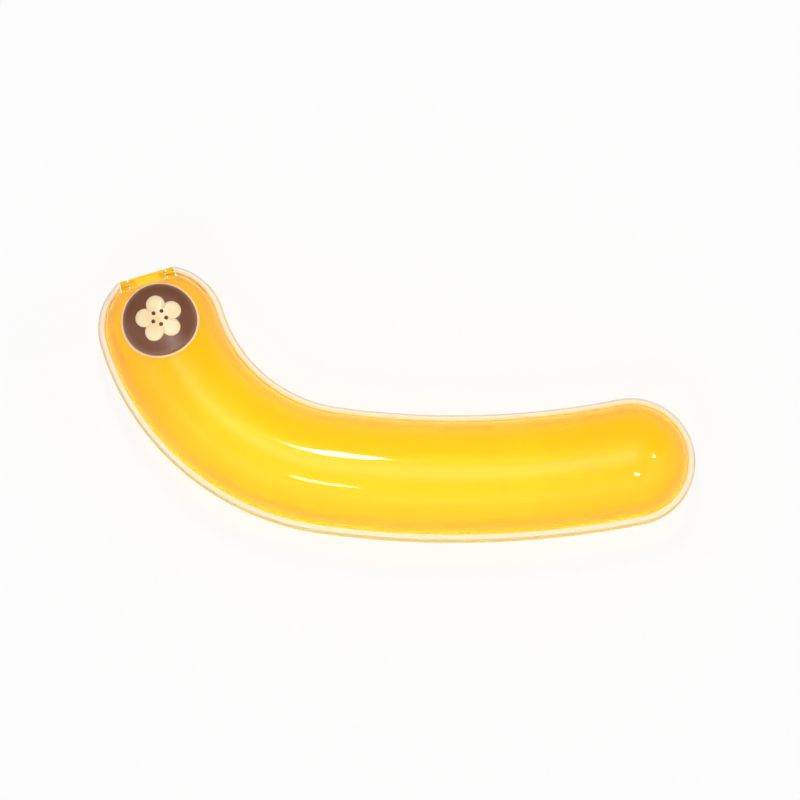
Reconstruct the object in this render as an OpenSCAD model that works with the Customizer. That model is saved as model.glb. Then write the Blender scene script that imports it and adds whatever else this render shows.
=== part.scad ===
// Banana carrying case: a curved clamshell of two thin half shells that open on a hinge across
// the flat end, with a soft seal round the rim and a layered round badge on the lid.

/* [Plan] */
// Overall width across the rim
case_width = 47.7; // [44:0.1:54]
// Centreline radius of the tight bend near the hinge
bend_radius = 76.8; // [66:0.2:95]
// Angle that the tight bend turns through
bend_angle = 65.2; // [50:0.2:72]
// Centreline radius of the long gentle run
run_radius = 335.6; // [260:0.2:450]
// Angle that the gentle run turns through
run_angle = 19.3; // [14:0.1:24]
// Direction from the bend's centre to the hinge end, counted from +X
hinge_angle = 196.8; // [190:0.2:204]

/* [Shells] */
// Wall thickness of both half shells
wall = 1.6; // [1.2:0.1:2]
// Upright part of the side wall, from the edge to the start of the arch
side_height = 0.6; // [0.4:0.1:4]
// How much the underside is planed off, so that the case lies still
rest_depth = 0.6; // [0.4:0.1:1]

/* [Rim] */
// How far the rim stands out from the shell wall
ledge_width = 3.2; // [2.8:0.1:4]
// Thickness of the base's rim flange
flange_thickness = 1.4; // [1.3:0.1:2]
// Height of the flange's outer face, which is turned down as a stiffening skirt
skirt_height = 3.2; // [2:0.1:5]
// Thickness of the skirt
skirt_thickness = 1; // [0.8:0.1:1.4]
// Radius of the skirt's lower outside edge
skirt_round = 0.5; // [0.2:0.1:0.7]
// Thickness of the seal between the two shells
seal_thickness = 1.2; // [0.8:0.1:1.6]
// Height of the seal's outer bead above the lid's edge
bead_height = 1.1; // [0.6:0.1:1.5]
// Radius of the bead's upper edges
bead_round = 0.9; // [0.5:0.1:1.2]
// How far the flange stands out past the seal
flange_lead = 0.35; // [0.1:0.05:0.6]
// Width of the rib that keys the seal into the flange
key_width = 0.6; // [0.4:0.05:0.8]
// Depth of the rib that keys the seal into the flange
key_depth = 0.7; // [0.4:0.05:0.9]

/* [Closure] */
// Thickness of the lid's inner lip
lip_thickness = 1.2; // [1:0.1:1.6]
// How far the lip reaches down inside the base
lip_reach = 1.9; // [1.5:0.1:2.1]
// Height of the lip's root on the lid's wall
lip_root = 2; // [1.2:0.1:4]
// How far the snap rib stands out from the lip
snap_height = 0.5; // [0.4:0.05:0.6]
// Angle of the round end that the snap rib takes up
snap_angle = 70; // [40:5:120]

/* [Hinge] */
// How far the flat is cut back from the full round of the hinge end
flat_cut = 2.95; // [2.4:0.05:3.4]
// Width of the rim left at each corner of the flat
corner_width = 0.7; // [0.5:0.1:1.5]
// Radius of the knuckles
knuckle_radius = 1.9; // [1.6:0.05:2.2]
// Length of each of the base's two knuckles
ear_length = 3; // [2.5:0.1:4]
// Radius of the hinge pins
pin_radius = 0.8; // [0.6:0.05:1]
// How far each pin reaches into the lid's knuckle
pin_reach = 2.6; // [2:0.1:4]
// Slope of the flat end walls from upright
end_draft = 10; // [6:1:12]

/* [Badge] */
// Radius of the badge's backing plate
badge_radius = 14.5; // [12:0.1:14.6]
// Distance from the flat to the badge's edge
badge_margin = 7.6; // [7:0.1:10]
// Thickness of the backing plate
plate_thickness = 0.9; // [0.7:0.1:1.5]
// Width of the backing plate's edge that shows round the cap
plate_edge = 0.7; // [0.4:0.1:1.2]
// Thickness of the cap
cap_thickness = 1.5; // [1:0.1:2]
// Height of the flower above the cap
flower_height = 0.9; // [0.6:0.1:1.4]
// Radius of one petal
petal_radius = 3.5; // [3:0.1:4]
// Distance from the badge's centre to the petals' centres
petal_reach = 5.4; // [5:0.1:6]
// Height of the seeds above the flower
seed_height = 0.4; // [0.3:0.1:0.8]
// Radius of one seed
seed_radius = 0.75; // [0.5:0.05:0.9]
// Distance from the badge's centre to the ring of seeds
seed_reach = 2.6; // [2.2:0.1:3]
// Radius of the pegs that hold the badge to the lid
peg_radius = 1.3; // [1:0.1:1.6]
// Distance between the two pegs
peg_spacing = 14; // [10:0.5:16]
// Radius of the pegs' staked heads
head_radius = 2.1; // [1.8:0.1:2.6]
// Thickness of the pegs' staked heads
head_thickness = 0.8; // [0.6:0.1:1.2]

/* [Clearances] */
// Gap between neighbours that move past each other
gap = 0.3; // [0.2:0.05:0.4]
// Gap between pieces that seat on each other
seat = 0.1; // [0.05:0.05:0.15]
// Radial clearance of the hinge pins
pin_clearance = 0.05; // [0.02:0.01:0.1]

/* [Hidden] */
$fn = 96;

amber = [1, 0.76, 0.1, 0.75];
milky = [0.95, 0.9, 0.8];
cream = [0.98, 0.87, 0.66];
cocoa = [0.42, 0.24, 0.14];
dark_cocoa = [0.16, 0.09, 0.06];
steel = [0.55, 0.55, 0.57];

petals = 5;
seeds = 5;

// Half widths across the case, from the outside in
rim_half = case_width / 2;
seal_half = rim_half - flange_lead;
shell_half = rim_half - ledge_width;
hollow_half = shell_half - wall;
lip_half = hollow_half - gap;
key_middle = (shell_half + seal_half) / 2;

shell_height = side_height + shell_half;

// Heights from the lid's edge, which is also the height of the hinge axis
base_edge = -seal_thickness - seat;
base_floor = base_edge - shell_height + rest_depth;
lip_bottom = base_edge - lip_reach;
parting_height = -base_floor;

// Plan positions from the bend's centre, with the hinge end on +X: the run goes on where the bend ends
function heading(angle) = [cos(angle), sin(angle)];
end_angle = bend_angle + run_angle;
hinge_centre = [bend_radius, 0];
run_centre = (bend_radius - run_radius) * heading(bend_angle);
end_centre = run_centre + run_radius * heading(end_angle);

// The flat across the hinge end
flat_reach = rim_half - flat_cut;
flat_half = sqrt(rim_half * rim_half - flat_reach * flat_reach);

// The same plan turned the way the case lies, with the frame's origin under the middle of its outline
function turned(p) = p.x * heading(hinge_angle) + p.y * heading(hinge_angle + 90);
outline_left = turned(hinge_centre).x - rim_half;
outline_right = turned(end_centre).x + rim_half;
outline_front = turned(run_centre).y - run_radius - rim_half;
outline_back = turned(hinge_centre - [flat_half, flat_reach]).y;
plan_middle = [(outline_left + outline_right) / 2, (outline_front + outline_back) / 2];

// Hinge sizes along the way out of the hinge end, and across it
axis_reach = flat_reach - knuckle_radius;
end_wall_reach = axis_reach - knuckle_radius - gap;
ear_end = flat_half - corner_width - gap;
ear_start = ear_end - ear_length;
lid_knuckle_end = ear_start - gap;
web_height = knuckle_radius - gap;
blind_bore_end = lid_knuckle_end - pin_reach - gap;

// Badge sizes
badge_reach = flat_reach - badge_margin - badge_radius;
badge_angle = 2 * asin(badge_radius / bend_radius);
cap_radius = badge_radius - plate_edge;
plate_top = seat + plate_thickness;
cap_top = plate_top + cap_thickness;
flower_top = cap_top + flower_height;
seed_top = flower_top + seed_height;
badge_floor = shell_height / 2;

// Larger than anything that it has to cut
reach = 4 * case_width;

// Puts the plan's middle on the origin and the underside on the ground. Inside, the bend's centre
// is the origin and the hinge end lies on +X, with the case running on counter-clockwise from it.
module place() {
  translate([-plan_middle.x, -plan_middle.y, parting_height]) rotate([0, 0, hinge_angle]) children();
}

// A section across the case, carried round part of a circle
module arc(radius, start, sweep) {
  rotate_extrude(angle = sweep, start = start) translate([radius, 0]) children();
}

// The outer half of a section across the case, turned half round to close an end
module half_turn(start) {
  rotate_extrude(angle = 180, start = start)
    intersection() {
      children();
      translate([0, -reach / 2]) square(reach);
    }
}

// Moves a stretch of the case in a coarse and a fine step, so that neighbours meet without a gap
module shift(to) {
  coarse = [round(to.x * 1000) / 1000, round(to.y * 1000) / 1000];
  translate(coarse) translate(to - coarse) children();
}

// A section carried along the bend, the run and the round end
module along_case() {
  arc(bend_radius, 0, bend_angle) children();
  shift(run_centre) arc(run_radius, bend_angle, run_angle) children();
  shift(end_centre) half_turn(end_angle) children();
}

// A section turned about the hinge end's centre
module hinge_end() {
  shift(hinge_centre) half_turn(-180) children();
}

// Local frame of the hinge end: +X out of the case, +Y across it, the hinge axis level with Z = 0
module hinge_frame() {
  translate(hinge_centre) rotate([0, 0, -90]) children();
}

// Everything on the case's side of a flat end wall that leans in with distance from the edge
module inside_end_wall(depth, lean) {
  hinge_frame() translate([end_wall_reach - depth / cos(end_draft), 0, 0]) rotate([0, lean * end_draft, 0])
    translate([-reach, -reach / 2, -reach / 2]) cube(reach);
}

// Filled outline of one half shell above its edge, moved inwards by inset: an arch on two upright sides
module arch(inset) {
  half = shell_half - inset;
  translate([0, side_height])
    intersection() {
      circle(half);
      translate([-half, 0]) square(2 * half);
    }
  translate([-half, 0]) square([2 * half, side_height]);
}

// Filled outline of the base below its edge, with the planed underside
module base_arch(inset) {
  intersection() {
    translate([0, base_edge]) mirror([0, 1]) arch(inset);
    translate([-reach / 2, base_floor + inset]) square(reach);
  }
}

// The same thing on both sides of a section
module both_sides() {
  for (side = [0, 1])
    mirror([side, 0]) children();
}

// Flange round the base's edge, turned down into a skirt, with the groove that the seal is keyed into
module flange_section() {
  root = shell_half - wall / 2;
  skirt_bottom = base_edge - skirt_height;
  both_sides()
    difference() {
      union() {
        translate([root, base_edge - flange_thickness]) square([rim_half - root, flange_thickness]);
        translate([rim_half - skirt_thickness, skirt_bottom + skirt_round])
          square([skirt_thickness, skirt_height - skirt_round]);
        translate([rim_half - skirt_thickness, skirt_bottom])
          square([skirt_thickness - skirt_round, skirt_round]);
        translate([rim_half - skirt_round, skirt_bottom + skirt_round]) circle(skirt_round);
      }
      translate([key_middle - key_width / 2, base_edge - key_depth]) square([key_width, 2 * key_depth]);
    }
}

// Section of the seal: a foot under the lid's edge, a rounded bead outside it and a key below
module seal_section() {
  foot_start = hollow_half + gap;
  bead_start = shell_half + gap;
  bead_width = seal_half - bead_start;
  bead_shoulder = bead_height - bead_round;
  key_slack = seat / 2;
  both_sides() {
    translate([foot_start, base_edge]) square([seal_half - foot_start, seal_thickness]);
    translate([bead_start, base_edge]) square([bead_width, bead_shoulder - base_edge]);
    translate([bead_start + bead_round, base_edge])
      square([bead_width - 2 * bead_round, bead_height - base_edge]);
    translate([bead_start + bead_round, bead_shoulder]) circle(bead_round);
    translate([seal_half - bead_round, bead_shoulder]) circle(bead_round);
    translate([key_middle - key_width / 2 + key_slack, base_edge - key_depth + key_slack])
      square([key_width - 2 * key_slack, key_depth]);
  }
}

// Lip inside the lid's edge, which reaches down into the base
module lip_section() {
  both_sides() {
    translate([lip_half - lip_thickness, lip_bottom]) square([lip_thickness, lip_root - lip_bottom]);
    translate([lip_half - lip_thickness, 0]) square([lip_thickness + gap + wall / 2, lip_root]);
  }
}

// Snap rib round the middle of the round end, or with room the groove that takes it
module snap_rib(room) {
  sweep = snap_angle + 2 * asin(2 * room / lip_half);
  shift(end_centre)
    rotate_extrude(angle = sweep, start = end_angle + 90 - sweep / 2)
      translate([lip_half, lip_bottom + snap_height + seat]) circle(snap_height + room);
}

// Room in front of the end wall for the knuckles
module knuckle_room() {
  half = ear_end + gap;
  hinge_frame() translate([end_wall_reach - wall, -half, -reach / 2]) cube([reach, 2 * half, reach]);
}

// What lies past the flat at the hinge end
module beyond_flat() {
  hinge_frame() translate([flat_reach, -reach / 2, -reach / 2]) cube(reach);
}

// Curb on the base's end wall, which closes the slot that the seal fills elsewhere
module end_curb() {
  low = base_edge - flange_thickness;
  hinge_frame() translate([end_wall_reach - wall, -ear_end, low]) cube([wall, 2 * ear_end, -gap - low]);
}

// A rod on the hinge axis, from start to stop across the case
module axis_rod(radius, start, stop) {
  hinge_frame() translate([axis_reach, start, 0]) rotate([-90, 0, 0]) cylinder(r = radius, h = stop - start);
}

// A knuckle from start to stop, with the web that ties it to its end wall on one side of the axis
module knuckle(start, stop, side) {
  foot = end_wall_reach - wall / 2;
  low = side > 0 ? gap : -knuckle_radius;
  axis_rod(knuckle_radius, start, stop);
  hinge_frame() translate([foot, start, low]) cube([axis_reach - foot, stop - start, web_height]);
}

// Where the badge sits: its own frame, turned so that +X points out of the hinge end
module badge_frame() {
  hinge_frame() translate([badge_reach, 0, 0]) children();
}

// A layer of the badge that follows the lid's surface, from low to high above it
module badge_layer(low, high) {
  intersection() {
    badge_frame() translate([0, 0, badge_floor]) linear_extrude(shell_height) children();
    union() {
      hinge_end() layer_section(low, high);
      arc(bend_radius, 0, badge_angle) layer_section(low, high);
    }
  }
}

// Section of a layer over the lid, from low to high above its surface
module layer_section(low, high) {
  difference() {
    arch(-high);
    arch(-low);
  }
}

// A disc at each of the two peg places
module peg_discs(radius) {
  for (side = [-1, 1])
    translate([0, side * peg_spacing / 2]) circle(radius);
}

// Outline of the flower on the badge
module flower_outline() {
  circle(petal_reach - petal_radius / 2);
  for (i = [0 : petals - 1])
    rotate([0, 0, i * 360 / petals]) translate([petal_reach, 0]) circle(petal_radius);
}

// Ring of seeds in the middle of the flower
module seeds_outline() {
  for (i = [0 : seeds - 1])
    rotate([0, 0, (i + 0.5) * 360 / seeds]) translate([seed_reach, 0]) circle(seed_radius);
}

// Lower half shell: rim flange, flat end wall and the two outer knuckles
module base_shell() {
  color(amber) place() difference() {
    union() {
      along_case() difference() {
        union() {
          base_arch(0);
          flange_section();
        }
        base_arch(wall);
      }
      difference() {
        union() {
          intersection() {
            hinge_end() base_arch(0);
            inside_end_wall(0, 1);
          }
          difference() {
            hinge_end() flange_section();
            knuckle_room();
            beyond_flat();
          }
        }
        intersection() {
          hinge_end() base_arch(wall);
          inside_end_wall(wall, 1);
        }
      }
      end_curb();
      knuckle(-ear_end, -ear_start, -1);
      knuckle(ear_start, ear_end, -1);
    }
    snap_rib(gap / 2);
    axis_rod(pin_radius + pin_clearance, -ear_end - gap, ear_end + gap);
  }
}

// Upper half shell: inner lip with its snap rib, flat end wall and the middle knuckle
module lid_shell() {
  color(amber) place() difference() {
    union() {
      along_case() {
        difference() {
          arch(0);
          arch(wall);
        }
        lip_section();
      }
      snap_rib(0);
      difference() {
        intersection() {
          hinge_end() arch(0);
          inside_end_wall(0, -1);
        }
        intersection() {
          hinge_end() arch(wall);
          inside_end_wall(wall, -1);
        }
      }
      knuckle(-lid_knuckle_end, lid_knuckle_end, 1);
    }
    axis_rod(pin_radius + pin_clearance, -ear_start, -blind_bore_end);
    axis_rod(pin_radius + pin_clearance, blind_bore_end, ear_start);
    badge_frame() translate([0, 0, badge_floor]) linear_extrude(shell_height) peg_discs(peg_radius + seat);
  }
}

// Soft seal: one strip round the base's flange, open at the hinge
module rim_seal() {
  color(milky) place() {
    along_case() seal_section();
    difference() {
      hinge_end() seal_section();
      knuckle_room();
      beyond_flat();
    }
  }
}

// Short steel pin through one of the base's knuckles into the lid's
module hinge_pin(start, stop) {
  color(steel) place() axis_rod(pin_radius, start, stop);
}

module hinge_pin_left() {
  hinge_pin(lid_knuckle_end - pin_reach, ear_end);
}

module hinge_pin_right() {
  hinge_pin(-ear_end, pin_reach - lid_knuckle_end);
}

// Backing plate, bent to the lid, with two pegs staked over inside it
module badge_plate() {
  head_top = -wall - seat;
  color(cream) place() {
    badge_layer(seat, plate_top) circle(badge_radius);
    badge_layer(head_top - head_thickness / 2, seat + plate_thickness / 2) peg_discs(peg_radius);
    badge_layer(head_top - head_thickness, head_top) peg_discs(head_radius);
  }
}

// Domed cap on the backing plate
module badge_cap() {
  color(cocoa) place() badge_layer(plate_top, cap_top) circle(cap_radius);
}

// Raised flower on the cap
module badge_flower() {
  color(cream) place() badge_layer(cap_top, flower_top) flower_outline();
}

// Raised seeds on the flower
module badge_seeds() {
  color(dark_cocoa) place() badge_layer(flower_top, seed_top) seeds_outline();
}

base_shell();
lid_shell();
rim_seal();
hinge_pin_left();
hinge_pin_right();
badge_plate();
badge_cap();
badge_flower();
badge_seeds();
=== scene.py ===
import math

import bmesh
import bpy
from mathutils import Matrix, Vector


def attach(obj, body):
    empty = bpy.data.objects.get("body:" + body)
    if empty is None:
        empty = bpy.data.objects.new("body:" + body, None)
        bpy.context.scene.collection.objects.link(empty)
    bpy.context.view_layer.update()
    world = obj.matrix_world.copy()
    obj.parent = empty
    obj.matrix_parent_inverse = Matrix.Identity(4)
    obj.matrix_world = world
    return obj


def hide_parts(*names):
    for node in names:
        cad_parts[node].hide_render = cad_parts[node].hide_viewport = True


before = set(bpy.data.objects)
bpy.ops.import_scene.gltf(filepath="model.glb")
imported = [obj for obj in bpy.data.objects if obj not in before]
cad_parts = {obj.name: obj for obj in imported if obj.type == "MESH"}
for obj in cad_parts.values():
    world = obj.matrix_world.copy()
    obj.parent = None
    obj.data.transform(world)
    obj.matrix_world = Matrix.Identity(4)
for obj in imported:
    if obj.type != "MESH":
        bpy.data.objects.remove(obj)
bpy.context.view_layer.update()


# Studio: a plain white table that runs on past the picture, a soft white room, and a camera
# almost straight above the case. The table shows white and still takes the case's shadow.
scene = bpy.context.scene
scene.view_settings.view_transform = "Standard"
mm = 0.001
white = (1, 1, 1, 1)


def new_object(name, shape):
    """An object of the scene, with a shape as its mesh."""
    mesh = bpy.data.meshes.new(name)
    shape.to_mesh(mesh)
    shape.free()
    made = bpy.data.objects.new(name, mesh)
    scene.collection.objects.link(made)
    return made


def new_material(name):
    """An empty material, with its nodes and its output."""
    material = bpy.data.materials.new(name)
    material.use_nodes = True
    tree = material.node_tree
    tree.nodes.clear()
    return material, tree, tree.nodes.new("ShaderNodeOutputMaterial")


def add_node(tree, kind, **values):
    """A node with its options and its sockets' values, each given by name."""
    made = tree.nodes.new(kind)
    for name, value in values.items():
        if name in ("operation", "data_type", "attribute_name"):
            setattr(made, name, value)
        else:
            made.inputs[name.replace("_", " ")].default_value = value
    return made


def combine(tree, operation, first, second):
    """Two values worked into one. The second is a socket or a plain number."""
    both = add_node(tree, "ShaderNodeMath", operation=operation)
    tree.links.new(first, both.inputs[0])
    if isinstance(second, float):
        both.inputs[1].default_value = second
    else:
        tree.links.new(second, both.inputs[1])
    return both.outputs[0]


def mix_shaders(tree, share, first, second):
    """The first shader where the share is 0, and the second where it is 1."""
    mixed = add_node(tree, "ShaderNodeMixShader")
    for source, socket in zip((share, first.outputs[0], second.outputs[0]), mixed.inputs):
        tree.links.new(source, socket)
    return mixed


table_half = 1.6
table_drop = 0.1 * mm
table_tone = 0.85
table_glow = 0.85
table_glow_in_gloss = 0.4

table_shape = bmesh.new()
bmesh.ops.create_grid(table_shape, x_segments=1, y_segments=1, size=table_half)
bmesh.ops.translate(table_shape, vec=(0, 0, -table_drop), verts=table_shape.verts)
table = new_object("table", table_shape)

table_white, tree, output = new_material("table_white")
paint = add_node(tree, "ShaderNodeBsdfDiffuse", Color=(table_tone, table_tone, table_tone, 1))
glow = add_node(tree, "ShaderNodeEmission", Color=white, Strength=1.0)
rays = add_node(tree, "ShaderNodeLightPath").outputs
mirrored = combine(tree, "MULTIPLY", rays["Is Glossy Ray"], table_glow_in_gloss)
seen = combine(tree, "MAXIMUM", rays["Is Camera Ray"], mirrored)
seen = combine(tree, "MAXIMUM", seen, rays["Is Transmission Ray"])
table_mix = mix_shaders(tree, combine(tree, "MULTIPLY", seen, table_glow), paint, glow)
tree.links.new(table_mix.outputs[0], output.inputs["Surface"])
table.data.materials.append(table_white)


def ranged(tree, source, low, high, first, last):
    """A value from first to last while the source goes from low to high."""
    span = add_node(tree, "ShaderNodeMapRange", From_Min=low, From_Max=high, To_Min=first, To_Max=last)
    tree.links.new(source, span.inputs["Value"])
    return span.outputs[0]


def graded(tree, source, tones):
    """Colours along a value, each at its own place."""
    ramp = add_node(tree, "ShaderNodeValToRGB")
    while len(ramp.color_ramp.elements) < len(tones):
        ramp.color_ramp.elements.new(0.5)
    for element, (share, tone) in zip(ramp.color_ramp.elements, tones):
        element.position = share
        element.color = (*tone, 1)
    tree.links.new(source, ramp.inputs[0])
    return ramp.outputs[0]


# The room's light, stronger from the near side, and the tones that gloss mirrors, by height.
near_strength = 0.86
far_strength = 0.3
side_blend = 0.15
near_tones = [(0.0, 0.8), (0.15, 0.9), (0.52, 1.5), (0.785, 0.75), (0.93, 0.9), (0.985, 2.1),
              (0.996, 3.0)]
far_tones = [(0.0, 0.75), (0.1, 0.55), (0.3, 0.3), (0.72, 0.2), (0.89, 0.75), (0.965, 1.35),
             (0.99, 3.0)]

room = bpy.data.worlds.new("room")
scene.world = room
room.use_nodes = True
tree = room.node_tree
tree.nodes.clear()
place = add_node(tree, "ShaderNodeTexCoord")
direction = add_node(tree, "ShaderNodeSeparateXYZ")
tree.links.new(place.outputs["Generated"], direction.inputs[0])
walls = add_node(tree, "ShaderNodeMix", data_type="RGBA")
far_side = ranged(tree, direction.outputs["Y"], -side_blend, side_blend, 0.0, 1.0)
tree.links.new(far_side, walls.inputs["Factor"])
for side, tones in (("A", near_tones), ("B", far_tones)):
    greys = [(height, (tone, tone, tone)) for height, tone in tones]
    tree.links.new(graded(tree, direction.outputs["Z"], greys), walls.inputs[side])
room_mirrored = add_node(tree, "ShaderNodeBackground", Strength=1.0)
tree.links.new(walls.outputs["Result"], room_mirrored.inputs["Color"])
room_light = add_node(tree, "ShaderNodeBackground", Color=white)
strength = ranged(tree, direction.outputs["Y"], -1.0, 1.0, near_strength, far_strength)
tree.links.new(strength, room_light.inputs["Strength"])
room_white = add_node(tree, "ShaderNodeBackground", Color=white, Strength=1.0)
rays = add_node(tree, "ShaderNodeLightPath").outputs
seen = combine(tree, "MAXIMUM", rays["Is Camera Ray"], rays["Is Transmission Ray"])
lit_or_seen = mix_shaders(tree, seen, room_light, room_white)
room_mix = mix_shaders(tree, rays["Is Glossy Ray"], lit_or_seen, room_mirrored)
room_output = add_node(tree, "ShaderNodeOutputWorld")
tree.links.new(room_mix.outputs[0], room_output.inputs["Surface"])

quarter = math.pi / 2
camera_target = Vector((1.5, 1.1, 21.95)) * mm
camera_distance = 1.7
camera_elevation = math.radians(80)
picture_width = 298.4 * mm
camera_data = bpy.data.cameras.new("camera")
camera = bpy.data.objects.new("camera", camera_data)
scene.collection.objects.link(camera)
scene.camera = camera
towards_camera = Vector((0, -math.cos(camera_elevation), math.sin(camera_elevation)))
camera.location = camera_target + camera_distance * towards_camera
camera.rotation_euler = (quarter - camera_elevation, 0, 0)
camera_data.sensor_width = 36
camera_data.lens = camera_data.sensor_width * camera_distance / picture_width


def softbox(name, place, aim, width, depth, power):
    """An oval lamp that is aimed at a point of the lid."""
    lamp = bpy.data.lights.new(name, "AREA")
    lamp.shape = "ELLIPSE"
    lamp.size = width
    lamp.size_y = depth
    lamp.energy = power
    stand = bpy.data.objects.new(name, lamp)
    stand.location = place
    stand.rotation_euler = (Vector(aim) - stand.location).to_track_quat("-Z", "Y").to_euler()
    scene.collection.objects.link(stand)


softbox("tall_light", place=(-0.038, 0.41, 0.945), aim=(-0.022, -0.022, 0.043),
        width=0.10, depth=0.28, power=2.9)
softbox("near_left_light", place=(-0.20, -0.65, 0.80), aim=(-0.028, -0.033, 0.042),
        width=0.21, depth=0.10, power=1.2)
softbox("near_right_light", place=(0.30, -0.63, 0.79), aim=(0.088, -0.030, 0.041),
        width=0.025, depth=0.13, power=0.32)
softbox("right_light", place=(0.80, -0.005, 0.75), aim=(0.095, -0.023, 0.042),
        width=0.14, depth=0.14, power=1.3)


# Base shell: the lower half of the case, an injection moulding in clear amber plastic. A rim
# flange with a turned-down skirt runs round it, two knuckles stand on its flat end wall, and a
# short groove inside the round end takes the lid's snap rib.
def heading(angle):
    """A level direction at an angle from +X."""
    return Vector((math.cos(angle), math.sin(angle), 0))


bend_centre = Vector((-14.1277, 51.0187, 0)) * mm
bend_radius = 76.8 * mm
run_radius = 335.6 * mm
hinge_side = math.radians(196.8)
bend_end = hinge_side + math.radians(65.2)
run_end = bend_end + math.radians(19.3)
hinge_centre = bend_centre + bend_radius * heading(hinge_side)
run_centre = bend_centre + (bend_radius - run_radius) * heading(bend_end)
round_centre = run_centre + run_radius * heading(run_end)
hinge_out = heading(hinge_side - quarter)
hinge_across = heading(hinge_side)

edge_height = 21.95 * mm
rim_half = 23.85 * mm
shell_half = 20.65 * mm
wall = 1.6 * mm
side_height = 0.6 * mm
base_edge = -1.3 * mm
base_floor = -edge_height
floor_half = 2.4 * mm
edge_round = 0.3 * mm
edge_steps = 4
end_wall_reach = 16.8 * mm
end_draft = math.tan(math.radians(10))
end_round = 0.8 * mm
curb_height = 1.0 * mm
curb_half = 10.49 * mm
curb_blend = 0.3 * mm
seam_gap = 0.008 * mm
hair_edge = 0.0005 * mm


def smooth_step(low, high, value):
    """A soft rise from 0 at the low value to 1 at the high one."""
    share = min(max((value - low) / (high - low), 0.0), 1.0)
    return share * share * (3 - 2 * share)


def soft_least(a, b, blend):
    """The lesser of two values, rounded over where they are within a blend of each other."""
    overlap = max(blend - abs(a - b), 0.0) / blend
    return min(a, b) - overlap * overlap * blend / 4


def arc_points(centre, radius, start, stop, count):
    """Points on an arc of a section, angles in degrees from the outward direction."""
    turns = [math.radians(start + (stop - start) * i / count) for i in range(count + 1)]
    return [(centre[0] + radius * math.cos(t), centre[1] + radius * math.sin(t)) for t in turns]


def edge_arc(along, up, start, stop):
    """A section's rounded edge about a point."""
    return arc_points((along, up), edge_round, start, stop, edge_steps)


def join_shapes(whole, *others):
    """Puts other shapes into the first one."""
    for other in others:
        mesh = bpy.data.meshes.new("part")
        other.to_mesh(mesh)
        other.free()
        whole.from_mesh(mesh)
        bpy.data.meshes.remove(mesh)
    return whole


def stand_section(points, centre, angle):
    """Where a section's points are when it stands across the case."""
    outward = heading(angle)
    return [centre + along * outward + Vector((0, 0, edge_height + up)) for along, up in points]


def carry(section, stages, closed):
    """Carries a section through turns about plan points, one after the other, each point numbered."""
    whole = bmesh.new()
    whole.verts.layers.int.new("row")
    for centre, angle, steps in stages:
        stretch = bmesh.new()
        row = stretch.verts.layers.int.new("row")
        verts = [stretch.verts.new(co) for co in section]
        for i, vert in enumerate(verts):
            vert[row] = i
        pairs = list(zip(verts, verts[1:])) + ([(verts[-1], verts[0])] if closed else [])
        edges = [stretch.edges.new(pair) for pair in pairs]
        last = bmesh.ops.spin(stretch, geom=verts + edges, cent=centre, axis=(0, 0, 1),
                              angle=angle, steps=steps)["geom_last"]
        last = sorted((v for v in last if isinstance(v, bmesh.types.BMVert)), key=lambda v: v[row])
        section = [vert.co.copy() for vert in last]
        join_shapes(whole, stretch)
    return whole, section


bend_steps = 56
run_steps = 60
round_steps = 72
hinge_steps = 144
along_case = [(bend_centre, bend_end - hinge_side, bend_steps),
              (run_centre, run_end - bend_end, run_steps),
              (round_centre, math.pi, round_steps),
              (run_centre, bend_end - run_end, run_steps),
              (bend_centre, hinge_side - bend_end, bend_steps)]
whole_way = along_case + [(hinge_centre, math.pi, hinge_steps)]


def close_up(shape):
    """Closes a shape's seams and poles, turns its faces outwards and smooths them."""
    bmesh.ops.remove_doubles(shape, verts=shape.verts, dist=seam_gap)
    bmesh.ops.dissolve_degenerate(shape, edges=shape.edges, dist=hair_edge)
    bmesh.ops.recalc_face_normals(shape, faces=shape.faces)
    for face in shape.faces:
        face.smooth = True


def hinge_place(co):
    """A point in the hinge end's own directions: out of the case, across it and up from the edge."""
    offset = co - hinge_centre
    return offset.dot(hinge_out), offset.dot(hinge_across), co.z - edge_height


def hinge_point(out, across, up):
    """The place of a point that is given in the hinge end's own directions."""
    return hinge_centre + out * hinge_out + across * hinge_across + Vector((0, 0, edge_height + up))


def flatten_end(shape, inner_rows):
    """Presses the round of the hinge end flat, to a wall that leans in with distance from the edge."""
    row = shape.verts.layers.int["row"]
    for vert in shape.verts:
        out, across, up = hinge_place(vert.co)
        if out <= 0 or abs(across) > rim_half:
            continue
        depth = wall if vert[row] < inner_rows else 0.0
        limit = end_wall_reach - depth - abs(up) * end_draft
        vert.co = hinge_point(soft_least(out, limit, end_round), across, up)


snap_height = -2.6 * mm
snap_reach = 18.75 * mm
snap_radius = 0.5 * mm
snap_half = math.radians(35)
snap_middle = run_end + quarter
groove_radius = 0.6 * mm
groove_half = math.radians(35.6)
coarse_rows = 28
coarse_rows_stop = -4.5
fine_rows = 14
fine_rows_start = -4.2

base_hollow = shell_half - wall
base_arch = base_edge - side_height
outer_floor = math.degrees(math.asin((base_floor - base_arch) / shell_half))
inner_floor = math.degrees(math.asin((base_floor + wall - base_arch) / base_hollow))
base_inner = [(0.0, base_floor + wall), (floor_half, base_floor + wall)]
base_inner += arc_points((0, base_arch), base_hollow, inner_floor, coarse_rows_stop, coarse_rows)
base_inner += arc_points((0, base_arch), base_hollow, fine_rows_start, 0, fine_rows)
base_inner += edge_arc(base_hollow + edge_round, base_edge - edge_round, 180, 90)
base_outer = edge_arc(shell_half - edge_round, base_edge - edge_round, 90, 0)
base_outer += arc_points((0, base_arch), shell_half, 0, outer_floor, 32)
base_outer += [(floor_half, base_floor), (0.0, base_floor)]

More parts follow.
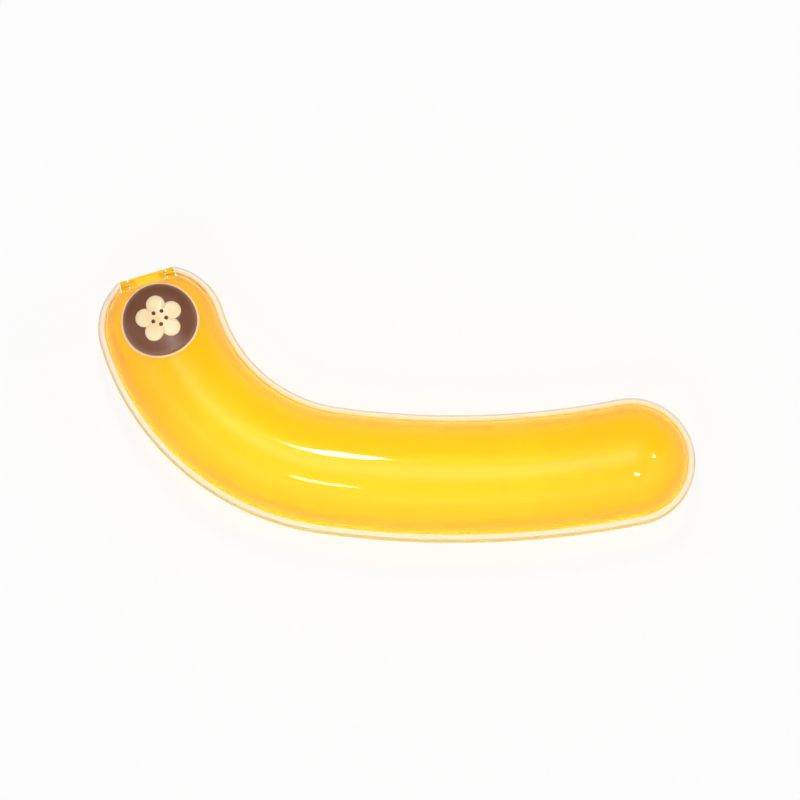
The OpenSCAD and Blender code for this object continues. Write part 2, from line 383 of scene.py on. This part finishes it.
base_section = stand_section(base_inner + base_outer, hinge_centre, hinge_side)
base_shape = carry(base_section, whole_way, False)[0]
row = base_shape.verts.layers.int["row"]
top_rows = range(len(base_inner) - edge_steps - 1, len(base_inner) + edge_steps + 1)
for vert in base_shape.verts:
    out, across, up = hinge_place(vert.co)
    if out > 0 and abs(across) < rim_half and vert[row] in top_rows:
        share = smooth_step(curb_half + curb_blend, curb_half - curb_blend, abs(across))
        vert.co.z += curb_height * share
flatten_end(base_shape, len(base_inner))
for vert in base_shape.verts:
    offset = vert.co - round_centre
    from_centre = math.hypot(offset.x, offset.y)
    aside = abs(math.remainder(math.atan2(offset.y, offset.x) - snap_middle, 2 * math.pi))
    above = offset.z - edge_height - snap_height
    in_groove = aside < groove_half and abs(above) < groove_radius and from_centre > snap_reach
    if in_groove and vert[row] < len(base_inner):
        deep = max(from_centre, snap_reach + math.sqrt(groove_radius ** 2 - above ** 2)) / from_centre
        vert.co = round_centre + Vector((offset.x * deep, offset.y * deep, offset.z))
close_up(base_shape)

flange_thickness = 1.4 * mm
flange_root = shell_half - 0.4 * mm
flange_low = base_edge - flange_thickness
flange_dip = 0.02 * mm
skirt_height = 3.2 * mm
skirt_thickness = 1.0 * mm
skirt_round = 0.5 * mm
skirt_low = base_edge - skirt_height
skirt_inner = rim_half - skirt_thickness
flange_section = [(flange_root, base_edge - flange_dip)]
flange_section += edge_arc(rim_half - edge_round, base_edge - edge_round, 90, 0)
flange_section += arc_points((rim_half - skirt_round, skirt_low + skirt_round), skirt_round, 0, -90, 6)
flange_section += edge_arc(skirt_inner + edge_round, skirt_low + edge_round, 270, 180)
flange_section += edge_arc(skirt_inner - edge_round, flange_low - edge_round, 0, 90)
flange_section += [(flange_root, flange_low)]
corner_turn = math.radians(64)
corner_steps = 40
flat_reach = 20.9 * mm
flat_half = 1.1 * rim_half
knuckle_room = 10.79 * mm


def carry_to_hinge(points):
    """Carries a closed section round the rim, from one corner of the hinge's flat to the other."""
    first = stand_section(points, hinge_centre, hinge_side - corner_turn)
    corner = (hinge_centre, corner_turn, corner_steps)
    shape, last = carry(first, [corner] + along_case + [corner], True)
    row = shape.verts.layers.int["row"]
    for section in (first, last):
        ring = [shape.verts.new(co) for co in section]
        for i, vert in enumerate(ring):
            vert[row] = i
        shape.faces.new(ring)
    for vert in shape.verts:
        out, across, up = hinge_place(vert.co)
        if out > 0 and abs(across) < flat_half:
            side = math.copysign(max(abs(across), knuckle_room), across)
            vert.co = hinge_point(min(out, flat_reach), side, up)
    close_up(shape)
    return shape


flange_shape = carry_to_hinge(flange_section)

axis_reach = 19.0 * mm
knuckle_radius = 1.9 * mm
ear_start = 7.49 * mm
ear_end = 10.49 * mm
bore_radius = 0.85 * mm
web_root = end_wall_reach - 0.35 * mm
web_gap = 0.3 * mm


def knuckle_outline(shape, across, side):
    """Outline of a knuckle with the web that ties it to the end wall, on one side of the axis."""
    points = arc_points((axis_reach, 0), knuckle_radius, side * 90, -side * 180, 36)
    points += [(axis_reach - knuckle_radius, side * web_gap), (web_root, side * web_gap)]
    points += [(web_root, side * knuckle_radius)]
    verts = [shape.verts.new(hinge_point(out, across, up)) for out, up in points]
    return [shape.edges.new((verts[i - 1], verts[i])) for i in range(len(verts))]


def on_axis(across):
    """Turns a shape's own Z along the hinge's axis, and moves it to a place on that axis."""
    turn = Matrix((hinge_out, Vector((0, 0, 1)), hinge_across)).transposed().to_4x4()
    turn.translation = hinge_point(axis_reach, across, 0)
    return turn


def bore_ring(shape, across):
    """The mouth of a knuckle's bore."""
    ring = bmesh.ops.create_circle(shape, cap_ends=False, segments=32, radius=bore_radius)["verts"]
    bmesh.ops.transform(shape, matrix=on_axis(across), verts=ring)
    return list({edge for vert in ring for edge in vert.link_edges})


def knuckle(start, stop, side, blind):
    """A knuckle with its web above (1) or below (-1) the axis, bored blind or through (0)."""
    shape = bmesh.new()
    ends = []
    for across, inward in ((start, 1), (stop, -1)):
        outline = knuckle_outline(shape, across, side)
        ring = bore_ring(shape, across)
        bmesh.ops.triangle_fill(shape, use_beauty=True, use_dissolve=False, edges=outline + ring)
        ends.append((outline, ring, inward))
    bmesh.ops.bridge_loops(shape, edges=ends[0][0] + ends[1][0])
    if blind:
        for outline, ring, inward in ends:
            moved = bmesh.ops.extrude_edge_only(shape, edges=ring)["geom"]
            bottom = [v for v in moved if isinstance(v, bmesh.types.BMVert)]
            rim = [e for e in moved if isinstance(e, bmesh.types.BMEdge)]
            bmesh.ops.translate(shape, vec=inward * blind * hinge_across, verts=bottom)
            bmesh.ops.contextual_create(shape, geom=rim)
    else:
        bmesh.ops.bridge_loops(shape, edges=ends[0][1] + ends[1][1])
    bmesh.ops.recalc_face_normals(shape, faces=shape.faces)
    return shape


def sharpen(piece, angle):
    """Keeps edges sharp where they turn by more than an angle in degrees, and drops the row numbers."""
    piece.data.set_sharp_from_angle(angle=math.radians(angle))
    if "row" in piece.data.attributes:
        piece.data.attributes.remove(piece.data.attributes["row"])


joint_hair = 0.002 * mm


def fuse(name, shape, *others):
    """Fuses closed shapes into one skin, as they come out of one mould."""
    made = new_object(name, shape)
    added = [new_object("added", other) for other in others]
    for other in added:
        union = made.modifiers.new("union", "BOOLEAN")
        union.operation = "UNION"
        union.solver = "MANIFOLD"
        union.object = other
    bpy.context.view_layer.update()
    fused = bpy.data.meshes.new_from_object(made.evaluated_get(bpy.context.evaluated_depsgraph_get()))
    fused.materials.clear()
    made.modifiers.clear()
    made.data = fused
    for other in added:
        bpy.data.objects.remove(other)
    skin = bmesh.new()
    skin.from_mesh(fused)
    bmesh.ops.dissolve_degenerate(skin, edges=skin.edges, dist=joint_hair)
    bmesh.ops.delete(skin, geom=[edge for edge in skin.edges if edge.is_wire], context="EDGES")
    skin.to_mesh(fused)
    skin.free()
    return made


base_ears = [knuckle(-ear_end, -ear_start, -1, 0), knuckle(ear_start, ear_end, -1, 0)]
base = fuse("base", base_shape, flange_shape, *base_ears)
sharpen(base, 40)
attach(base, "base")
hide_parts("base_shell")


def plan_distance(tree, place, centre):
    """Distance in plan from a point of the case, over the whole surface."""
    flat = add_node(tree, "ShaderNodeVectorMath", operation="MULTIPLY")
    flat.inputs[1].default_value = (1, 1, 0)
    apart = add_node(tree, "ShaderNodeVectorMath", operation="DISTANCE")
    apart.inputs[1].default_value = centre
    tree.links.new(place.outputs["Object"], flat.inputs[0])
    tree.links.new(flat.outputs[0], apart.inputs[0])
    return apart.outputs["Value"]


def noise_on(tree, place, scale, detail, stretch=(1, 1, 1), turn=0.0):
    """Noise on the piece itself, stretched along a direction in plan where a mark is drawn out."""
    laid = add_node(tree, "ShaderNodeMapping", Scale=stretch, Rotation=(0, 0, turn))
    noise = add_node(tree, "ShaderNodeTexNoise", Scale=scale, Detail=detail, Roughness=0.55)
    tree.links.new(place.outputs["Object"], laid.inputs["Vector"])
    tree.links.new(laid.outputs[0], noise.inputs["Vector"])
    return noise.outputs["Fac"]


noise_low = 0.3
noise_high = 0.7


def spread(tree, noise, first, last):
    """A value that wanders from first to last with a noise."""
    return ranged(tree, noise, noise_low, noise_high, first, last)


def blended(tree, share, first, last):
    """A colour between two, by a share."""
    mixed = add_node(tree, "ShaderNodeMix", data_type="RGBA")
    mixed.inputs["A"].default_value = (*first, 1)
    mixed.inputs["B"].default_value = (*last, 1)
    tree.links.new(share, mixed.inputs["Factor"])
    return mixed.outputs["Result"]


def bumped(tree, source, depth):
    """A relief of a depth, from a value."""
    relief = add_node(tree, "ShaderNodeBump", Strength=1.0, Distance=depth)
    tree.links.new(source, relief.inputs["Height"])
    return relief.outputs[0]


amber_pale = (1.0, 0.765, 0.028)
# The deep amber serves both the plastic's random tone and the painted shade at the two ends.
amber_deep_tone_and_shade = (1.0, 0.62, 0.01)
amber_shadow = (1.0, 0.88, 0.25, 1)
# Painted shade at the two ends: full deep amber within the first distance from an end's centre, none
# past the second.
end_shade_full_until = 12 * mm
end_shade_gone_from = 46 * mm
hinge_end_painted_shade = 0.4
round_end_painted_shade = 0.25
scratch_stretch = (1, 26, 26)
skin_relief = 0.05 * mm


def amber_finish(name, scratch_turn):
    """Hazy amber plastic under a smooth, finely scratched skin. Its amber is deepened towards the two
    ends as painted shade, for the badge's shadow inside the hinge end and the shade seen through the
    round end.
    """
    material, tree, output = new_material(name)
    plastic = add_node(tree, "ShaderNodeBsdfPrincipled", IOR=1.12, Specular_IOR_Level=0.0,
                       Transmission_Weight=0.7, Coat_Weight=0.55, Coat_Roughness=0.03)
    place = add_node(tree, "ShaderNodeTexCoord")
    from_hinge = plan_distance(tree, place, hinge_centre)
    from_round = plan_distance(tree, place, round_centre)
    # Painted shade: deeper amber near the hinge end and the round end.
    hinge_painted_shade = ranged(tree, from_hinge, end_shade_full_until, end_shade_gone_from, hinge_end_painted_shade, 0.0)
    round_painted_shade = ranged(tree, from_round, end_shade_full_until, end_shade_gone_from, round_end_painted_shade, 0.0)
    ends = combine(tree, "MAXIMUM", hinge_painted_shade, round_painted_shade)
    flow = noise_on(tree, place, 24, 3)
    # Share of deep amber: the painted shade at the ends plus a random tone from the flow noise.
    depth = combine(tree, "ADD", ends, spread(tree, flow, -0.1, 0.1))
    tree.links.new(blended(tree, depth, amber_pale, amber_deep_tone_and_shade), plastic.inputs["Base Color"])
    marks = noise_on(tree, place, 60, 5, scratch_stretch, scratch_turn)
    scratches = ranged(tree, marks, 0.68, 0.74, 0.0, 1.0)
    haze = spread(tree, noise_on(tree, place, 140, 4), 0.62, 0.72)
    scuffs = ranged(tree, scratches, 0.0, 1.0, 0.0, 0.1)
    tree.links.new(combine(tree, "ADD", haze, scuffs), plastic.inputs["Roughness"])
    skin = combine(tree, "SUBTRACT", flow, ranged(tree, scratches, 0.0, 1.0, 0.0, 0.12))
    tree.links.new(bumped(tree, skin, skin_relief), plastic.inputs["Coat Normal"])
    let_through = add_node(tree, "ShaderNodeBsdfTransparent", Color=amber_shadow)
    rays = add_node(tree, "ShaderNodeLightPath").outputs
    either = mix_shaders(tree, rays["Is Shadow Ray"], plastic, let_through)
    tree.links.new(either.outputs[0], output.inputs["Surface"])
    return material


base.data.materials.append(amber_finish("amber_base", scratch_turn=0.4))


# Rim seal: one soft milky strip that is keyed into the base's flange, with a foot under the lid's
# edge and a rounded bead outside it. It stops at the two corners of the hinge's flat.
seal_half = 23.5 * mm
seal_break = 0.1 * mm
foot_start = 19.35 * mm
foot_top = base_edge + 1.2 * mm
bead_start = 20.95 * mm
bead_height = 1.1 * mm
bead_round = 0.9 * mm
bead_shoulder = bead_height - bead_round
seal_section = [(foot_start, base_edge + seal_break), (foot_start + seal_break, base_edge),
                (seal_half, base_edge)]
seal_section += arc_points((seal_half - bead_round, bead_shoulder), bead_round, 0, 90, 10)
seal_section += arc_points((bead_start + bead_round, bead_shoulder), bead_round, 90, 180, 10)
seal_section += [(bead_start, foot_top), (foot_start + seal_break, foot_top),
                 (foot_start, foot_top - seal_break)]
seal_shape = carry_to_hinge(seal_section)
row = seal_shape.verts.layers.int["row"]
# The reach across the seal's section places its painted light and shade.
reach = seal_shape.verts.layers.float.new("reach")
for vert in seal_shape.verts:
    vert[reach] = (seal_section[vert[row]][0] - foot_start) / (seal_half - foot_start)
seal = new_object("seal", seal_shape)
sharpen(seal, 50)
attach(seal, "base")
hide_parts("rim_seal")

# Seal tones across its section, with painted light and shade: yellow on the thin foot inside as painted
# amber light through it, cream in the middle, and darker at the bead's outer edge as painted shade on
# its side.
seal_tones_with_painted_light = [(0.3, (0.90, 0.78, 0.48)), (0.5, (0.90, 0.79, 0.56)), (0.7, (0.86, 0.77, 0.62)),
              (0.93, (0.86, 0.78, 0.65)), (1.0, (0.76, 0.67, 0.52))]
rubber_relief = 0.02 * mm
milky, tree, output = new_material("milky_seal")
rubber = add_node(tree, "ShaderNodeBsdfPrincipled", Coat_Weight=0.25, Coat_Roughness=0.2)
place = add_node(tree, "ShaderNodeTexCoord")
from_inside = add_node(tree, "ShaderNodeAttribute", attribute_name="reach")
cloud = noise_on(tree, place, 90, 3)
# Share into the seal tones: the place across the section, for the painted light and shade, plus a
# random cloud.
seal_painted_light_and_cloud = combine(tree, "ADD", from_inside.outputs["Fac"], spread(tree, cloud, -0.04, 0.04))
tree.links.new(graded(tree, seal_painted_light_and_cloud, seal_tones_with_painted_light), rubber.inputs["Base Color"])
tree.links.new(spread(tree, cloud, 0.3, 0.42), rubber.inputs["Roughness"])
tree.links.new(bumped(tree, noise_on(tree, place, 1100, 2), rubber_relief), rubber.inputs["Normal"])
tree.links.new(rubber.outputs[0], output.inputs["Surface"])
seal.data.materials.append(milky)


# Hinge pins: two short pieces of drawn steel wire, pressed through the base's knuckles and
# running in the blind bores of the lid's.
pin_radius = 0.8 * mm
pin_inner = 4.59 * mm
pin_bevel = 0.15 * mm
steel_dark = (0.30, 0.28, 0.26)
steel_bright = (0.56, 0.55, 0.53)
wire_stretch = (1, 40, 40)
wire_relief = 0.01 * mm

steel, tree, output = new_material("drawn_wire")
wire = add_node(tree, "ShaderNodeBsdfPrincipled", Metallic=1.0)
place = add_node(tree, "ShaderNodeTexCoord")
drawn = noise_on(tree, place, 40, 4, wire_stretch, -hinge_side)
tree.links.new(blended(tree, drawn, steel_dark, steel_bright), wire.inputs["Base Color"])
tree.links.new(spread(tree, drawn, 0.22, 0.4), wire.inputs["Roughness"])
tree.links.new(bumped(tree, drawn, wire_relief), wire.inputs["Normal"])
tree.links.new(wire.outputs[0], output.inputs["Surface"])

for name, side in (("hinge_pin_left", 1), ("hinge_pin_right", -1)):
    pin_shape = bmesh.new()
    middle = side * (pin_inner + ear_end) / 2
    bmesh.ops.create_cone(pin_shape, cap_ends=True, segments=40, radius1=pin_radius, radius2=pin_radius,
                          depth=ear_end - pin_inner, matrix=on_axis(middle))
    rims = [edge for edge in pin_shape.edges if any(len(face.verts) > 4 for face in edge.link_faces)]
    bmesh.ops.bevel(pin_shape, geom=rims, offset=pin_bevel, affect="EDGES", segments=3, profile=0.5,
                    material=-1)
    close_up(pin_shape)
    pin = new_object(name + "_wire", pin_shape)
    sharpen(pin, 40)
    pin.data.materials.append(steel)
    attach(pin, "base")
    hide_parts(name)


# Lid shell: the upper half, in the same amber plastic. A lip inside its edge, with a short snap rib
# at the round end, drops into the base and fades out beside the hinge, where the middle knuckle
# stands on its flat end wall.
lip_inner = 17.55 * mm
lip_outer = 18.75 * mm
lip_bottom = -3.2 * mm
lip_round = 0.35 * mm
lip_corner = 0.2 * mm
lip_blend = 1.2 * mm
lip_fade_start = math.radians(90)
lip_fade_end = math.radians(62)
bare_high = 0.4 * mm
bare_low = 0.1 * mm
bare_break = 0.05 * mm
tip_steps = 4
arch_steps = 40
lid_hollow = shell_half - wall
bare_rows = [(0.0, side_height + lid_hollow)]
lip_rows = [(0.0, side_height + lid_hollow)]
for i in range(1, arch_steps + 1):
    turn = math.radians(90 - 90 * i / arch_steps)
    along, up = lid_hollow * math.cos(turn), side_height + lid_hollow * math.sin(turn)
    bare_rows.append((along, up))
    lip_rows.append((soft_least(along, lip_inner, lip_blend), up))
lip_rows += arc_points((lip_inner + lip_round, lip_bottom + lip_round), lip_round, 180, 270, tip_steps)
lip_rows += arc_points((lip_outer - lip_round, lip_bottom + lip_round), lip_round, 270, 360, tip_steps)
lip_rows += [(lip_outer, -lip_corner), (lip_outer + lip_corner, 0.0)]
bare_rows += [(lid_hollow, bare_high)] * (tip_steps + 1) + [(lid_hollow, bare_low)] * (tip_steps + 1)
bare_rows += [(lid_hollow, bare_break), (lid_hollow + bare_break, 0.0)]
lid_outer = edge_arc(shell_half - edge_round, edge_round, 270, 360)
lid_outer += arc_points((0, side_height), shell_half, 0, 90, 44)

lid_section = stand_section(lip_rows + lid_outer, hinge_centre, hinge_side)
lid_shape = carry(lid_section, whole_way, False)[0]
row = lid_shape.verts.layers.int["row"]
for vert in lid_shape.verts:
    out, across, up = hinge_place(vert.co)
    if out <= 0.001 * mm or abs(across) > rim_half or vert[row] >= len(lip_rows):
        continue
    turn = math.atan2(abs(across), out)
    keep = smooth_step(lip_fade_end, lip_fade_start, turn)
    (lip_along, lip_up), (bare_along, bare_up) = lip_rows[vert[row]], bare_rows[vert[row]]
    along = keep * lip_along + (1 - keep) * bare_along
    up = keep * lip_up + (1 - keep) * bare_up
    vert.co = hinge_point(along * math.cos(turn), math.copysign(along * math.sin(turn), across), up)
flatten_end(lid_shape, len(lip_rows))
close_up(lid_shape)

snap_steps = 48
snap_section = arc_points((snap_reach, snap_height), snap_radius, 0, 345, 23)
snap_start = stand_section(snap_section, round_centre, snap_middle - snap_half)
snap_shape = carry(snap_start, [(round_centre, 2 * snap_half, snap_steps)], True)[0]
bmesh.ops.holes_fill(snap_shape, edges=snap_shape.edges)
close_up(snap_shape)

lid_knuckle_end = 7.19 * mm
lid_bore_depth = 2.9 * mm
lid_knuckle = knuckle(-lid_knuckle_end, lid_knuckle_end, 1, lid_bore_depth)
lid = fuse("lid", lid_shape, snap_shape, lid_knuckle)
sharpen(lid, 40)
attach(lid, "lid")
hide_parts("lid_shell")
lid.data.materials.append(amber_finish("amber_lid", scratch_turn=-0.3))


# Badge plate: a thin cream disc bent to the lid's dome. Two pegs moulded on its back go through
# the lid and are staked over into round heads inside it.
badge_inset = 1.2 * mm
badge_centre = hinge_centre - badge_inset * hinge_out
plate_radius = 14.5 * mm
plate_low = 0.1 * mm
plate_high = 1.0 * mm
plate_round = 0.3 * mm
plate_break = 0.1 * mm
peg_spread = 7.0 * mm
peg_radius = 1.3 * mm
peg_root = plate_low + 0.2 * mm
head_radius = 2.1 * mm
head_low = -2.5 * mm
head_high = -1.7 * mm
head_break = 0.2 * mm
head_round = 0.5 * mm
dimple_radius = 0.6 * mm
dimple_depth = 0.12 * mm


def turned(profile, steps):
    """A disc turned from half its section, given as points of radius and height."""
    shape = bmesh.new()
    verts = [shape.verts.new((radius, 0, height)) for radius, height in profile]
    edges = [shape.edges.new(pair) for pair in zip(verts, verts[1:])]
    bmesh.ops.spin(shape, geom=verts + edges, cent=(0, 0, 0), axis=(0, 0, 1), angle=2 * math.pi,
                   steps=steps, use_merge=True)
    return shape


def lay_on_lid(shape):
    """Lays a flat shape on the lid: across the case, out to the hinge, and up from its dome."""
    for vert in shape.verts:
        across, out, raised = vert.co
        point = badge_centre + across * hinge_across + out * hinge_out
        past = (point - hinge_centre).dot(hinge_out) > 0
        aside = (point - hinge_centre).length if past else (point - bend_centre).length - bend_radius
        point.z = edge_height + side_height + math.sqrt((shell_half + raised) ** 2 - aside ** 2)
        vert.co = point
    close_up(shape)
    return shape


def rings(first, last, count):
    """Even steps from a first value to a last."""
    return [first + (last - first) * i / count for i in range(count + 1)]


plate_profile = [(r, plate_high) for r in rings(0, plate_radius - plate_round, 14)]
plate_edge = (plate_radius - plate_round, plate_high - plate_round)
plate_profile += arc_points(plate_edge, plate_round, 75, 0, 5)
plate_profile += [(plate_radius, plate_low + plate_break), (plate_radius - plate_break, plate_low)]
plate_profile += [(r, plate_low) for r in rings(plate_radius - 1 * mm, 0, 10)]
peg_profile = [(0, peg_root), (peg_radius, peg_root), (peg_radius, head_high)]
peg_profile += [(head_radius - head_break, head_high), (head_radius, head_high - head_break)]
peg_profile += arc_points((head_radius - head_round, head_low + head_round), head_round, 0, -90, 5)
peg_profile += [(dimple_radius, head_low), (0, head_low + dimple_depth)]
plate_shape = turned(plate_profile, 112)
for side in (-1, 1):
    peg = turned(peg_profile, 40)
    bmesh.ops.translate(peg, vec=(side * peg_spread, 0, 0), verts=peg.verts)
    join_shapes(plate_shape, peg)
plate = new_object("badge_disc", lay_on_lid(plate_shape))
sharpen(plate, 40)
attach(plate, "lid")
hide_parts("badge_plate")

grain_relief = 0.015 * mm


def badge_finish(name, pale, deep, wear_start, wear_end, roughness):
    """Satin moulded plastic with a fine grain, its colour deepest where hands rub it least."""
    material, tree, output = new_material(name)
    plastic = add_node(tree, "ShaderNodeBsdfPrincipled", Coat_Weight=0.15, Coat_Roughness=0.25)
    place = add_node(tree, "ShaderNodeTexCoord")
    worn = ranged(tree, plan_distance(tree, place, badge_centre), wear_start, wear_end, 0.0, 0.75)
    cloud = noise_on(tree, place, 160, 4)
    share = combine(tree, "ADD", worn, spread(tree, cloud, 0.0, 0.25))
    tree.links.new(blended(tree, share, deep, pale), plastic.inputs["Base Color"])
    tree.links.new(spread(tree, cloud, roughness - 0.06, roughness + 0.06), plastic.inputs["Roughness"])
    tree.links.new(bumped(tree, noise_on(tree, place, 1600, 2), grain_relief), plastic.inputs["Normal"])
    tree.links.new(plastic.outputs[0], output.inputs["Surface"])
    return material


cream_plate = badge_finish("cream_plate", pale=(0.97, 0.80, 0.52), deep=(0.93, 0.70, 0.38),
                           wear_start=plate_radius - 1 * mm, wear_end=plate_radius, roughness=0.38)
plate.data.materials.append(cream_plate)


# Badge cap: a brown disc with a softly rounded edge, moulded separately and welded on the plate,
# which shows round it as a thin cream edge.
cap_radius = 13.8 * mm
cap_high = 2.5 * mm
cap_round = 0.9 * mm
cap_profile = [(r, cap_high) for r in rings(0, cap_radius - cap_round, 14)]
cap_profile += arc_points((cap_radius - cap_round, cap_high - cap_round), cap_round, 82, 0, 10)
cap_profile += [(cap_radius, plate_high)] + [(r, plate_high) for r in rings(cap_radius - 1 * mm, 0, 10)]
cap = new_object("badge_brown_disc", lay_on_lid(turned(cap_profile, 112)))
sharpen(cap, 40)
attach(cap, "lid")
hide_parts("badge_cap")
brown_cap = badge_finish("brown_cap", pale=(0.27, 0.105, 0.05), deep=(0.155, 0.05, 0.018),
                         wear_start=cap_radius - 2 * mm, wear_end=cap_radius, roughness=0.42)
cap.data.materials.append(brown_cap)


# Badge flower: a cream relief of five round petals, welded on the cap. Each petal is rounded over
# at its edge, and a crease runs in between two petals.
flower_low = cap_high
flower_height = 0.9 * mm
petal_radius = 3.5 * mm
petal_reach = 5.4 * mm
petal_turn = math.radians(72)
crease_width = 0.5 * mm
crease_depth = 0.55
crease_start = 3.5 * mm
crease_full = crease_start + 1.5 * mm
edge_share = 0.8
flower_profile = [(share, 1) for share in rings(0, edge_share, 16) + rings(edge_share, 1, 12)[1:]]
flower_profile += [(share, 0) for share in rings(1, 0, 8)]
flower_shape = turned(flower_profile, 200)
for vert in flower_shape.verts:
    share, on_top = math.hypot(vert.co.x, vert.co.y), vert.co.z
    turn = math.atan2(vert.co.x, vert.co.y)
    from_petal = turn - petal_turn * round(turn / petal_turn)
    aside = petal_reach * math.sin(from_petal)
    outline = petal_reach * math.cos(from_petal) + math.sqrt(petal_radius ** 2 - aside ** 2)
    radius = share * outline
    to_crease = radius * math.sin(petal_turn / 2 - abs(from_petal)) / crease_width
    crease = crease_depth * math.exp(-to_crease ** 2) * smooth_step(crease_start, crease_full, radius)
    over_edge = max(share - edge_share, 0.0) / (1 - edge_share)
    height = flower_height * math.sqrt(max(1 - over_edge ** 2, 0.0)) * (1 - crease)
    vert.co = (radius * math.sin(turn), radius * math.cos(turn), flower_low + on_top * height)
flower = new_object("badge_petals", lay_on_lid(flower_shape))
sharpen(flower, 60)
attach(flower, "lid")
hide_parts("badge_flower")
cream_petals = badge_finish("cream_petals", pale=(0.98, 0.80, 0.50), deep=(0.92, 0.62, 0.28),
                            wear_start=1.5 * mm, wear_end=6.5 * mm, roughness=0.36)
flower.data.materials.append(cream_petals)


# Badge seeds: five small dark domes of hard plastic on the flower's middle, welded on, each
# between two petals.
seed_low = flower_low + flower_height
seed_height = 0.4 * mm
seed_radius = 0.75 * mm
seed_reach = 2.6 * mm
seed_profile = [(seed_radius * math.sin(turn), seed_low + seed_height * math.cos(turn))
                for turn in rings(0, quarter, 8)]
seeds_shape = bmesh.new()
for i in range(5):
    seed = turned(seed_profile + [(0, seed_low)], 32)
    turn = (i + 0.5) * petal_turn
    seed_place = (seed_reach * math.sin(turn), seed_reach * math.cos(turn), 0)
    bmesh.ops.translate(seed, vec=seed_place, verts=seed.verts)
    join_shapes(seeds_shape, seed)
seeds = new_object("badge_seed_domes", lay_on_lid(seeds_shape))
sharpen(seeds, 50)
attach(seeds, "lid")
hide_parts("badge_seeds")
dark_seeds = badge_finish("dark_seeds", pale=(0.05, 0.025, 0.015), deep=(0.018, 0.009, 0.006),
                          wear_start=2.0 * mm, wear_end=3.4 * mm, roughness=0.3)
seeds.data.materials.append(dark_seeds)
